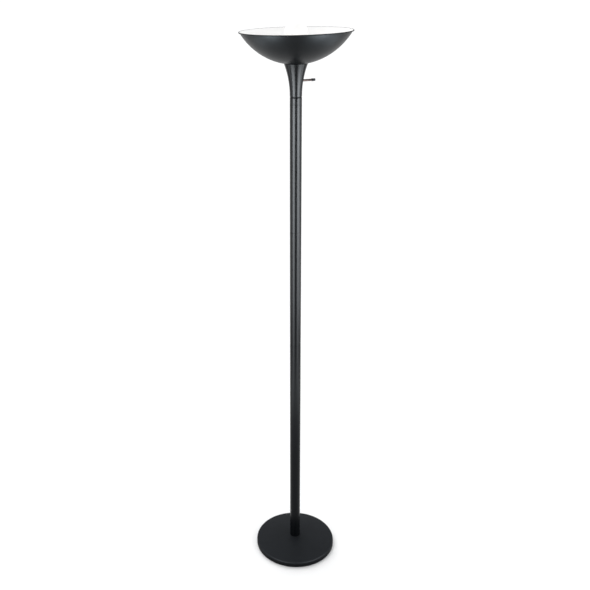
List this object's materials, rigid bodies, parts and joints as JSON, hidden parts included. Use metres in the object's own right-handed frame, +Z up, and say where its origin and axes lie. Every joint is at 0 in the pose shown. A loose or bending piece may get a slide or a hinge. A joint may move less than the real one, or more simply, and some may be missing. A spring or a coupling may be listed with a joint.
{
  "type": "torchiere floor lamp",
  "caption": "Torchiere floor lamp: a shallow uplight bowl on a flared neck and a slim round pole, with a weighted dome base and a turn-knob socket.",
  "frame": {"origin": "on the floor, at the pole's axis", "axes": "+Z up along the pole, +X along the switch's stem towards its knob, +Y towards the cord's inlet at the back of the base"},
  "size_m": [0.3272, 0.327, 1.8299],
  "materials": {
    "black_paint": "satin black powder coat",
    "cast_iron": "rough casting with a thin black wash",
    "foam_pad": "closed-cell foam sheet",
    "zinc_steel": "zinc-plated steel",
    "black_plastic": "moulded, fine matte",
    "socket_plastic": "moulded phenolic",
    "aluminium": "bright drawn sheet",
    "brass": "plain brass",
    "stem_brass": "dull turned rod",
    "rubber_gasket": "matte",
    "bulb_black_glass": "glossy insulator",
    "bulb_plastic": "white moulding",
    "bulb_diffuser": "frosted white diffuser"
  },
  "bodies": {
    "lamp": {"base_cover": "black_paint", "base_lock_washer": "zinc_steel", "base_nut": "zinc_steel", "base_pipe": "zinc_steel", "base_washer": "zinc_steel", "base_weight": "cast_iron", "bowl": "black_paint", "bowl_gasket": "rubber_gasket", "bowl_ring": "black_plastic", "centre_contact": "brass", "collar": "black_paint", "cord_gland": "black_plastic", "floor_pad": "foam_pad", "foot_insert": "zinc_steel", "joint_pipe_1": "zinc_steel", "joint_pipe_2": "zinc_steel", "joint_pipe_3": "zinc_steel", "lower_insert_1": "zinc_steel", "lower_insert_2": "zinc_steel", "lower_insert_3": "zinc_steel", "neck": "black_paint", "neck_lock_washer": "zinc_steel", "neck_nut": "zinc_steel", "neck_pipe": "zinc_steel", "pole_section_1": "black_paint", "pole_section_2": "black_paint", "pole_section_3": "black_paint", "pole_section_4": "black_paint", "screw_shell": "aluminium", "socket_body": "socket_plastic", "socket_cap": "socket_plastic", "socket_shell": "socket_plastic", "terminal_screws": "brass", "top_insert": "zinc_steel", "upper_insert_1": "zinc_steel", "upper_insert_2": "zinc_steel", "upper_insert_3": "zinc_steel"},
    "switch": {"switch_stem": "stem_brass", "switch_knob": "black_plastic"},
    "bulb": {"bulb_tip": "brass", "bulb_insulator": "bulb_black_glass", "bulb_cap": "aluminium", "bulb_housing": "bulb_plastic", "bulb_globe": "bulb_diffuser"}
  },
  "joints": [
    {"name": "switch_turn", "type": "hinge", "parent": "lamp", "child": "switch", "pos_m": [0.03, 0, 1.66459], "axis": [1, 0, 0], "continuous": true},
    {"name": "bulb_out", "type": "slide", "parent": "lamp", "child": "bulb", "axis": [0, 0, 1], "range_m": [0, 0.03]}
  ]
}
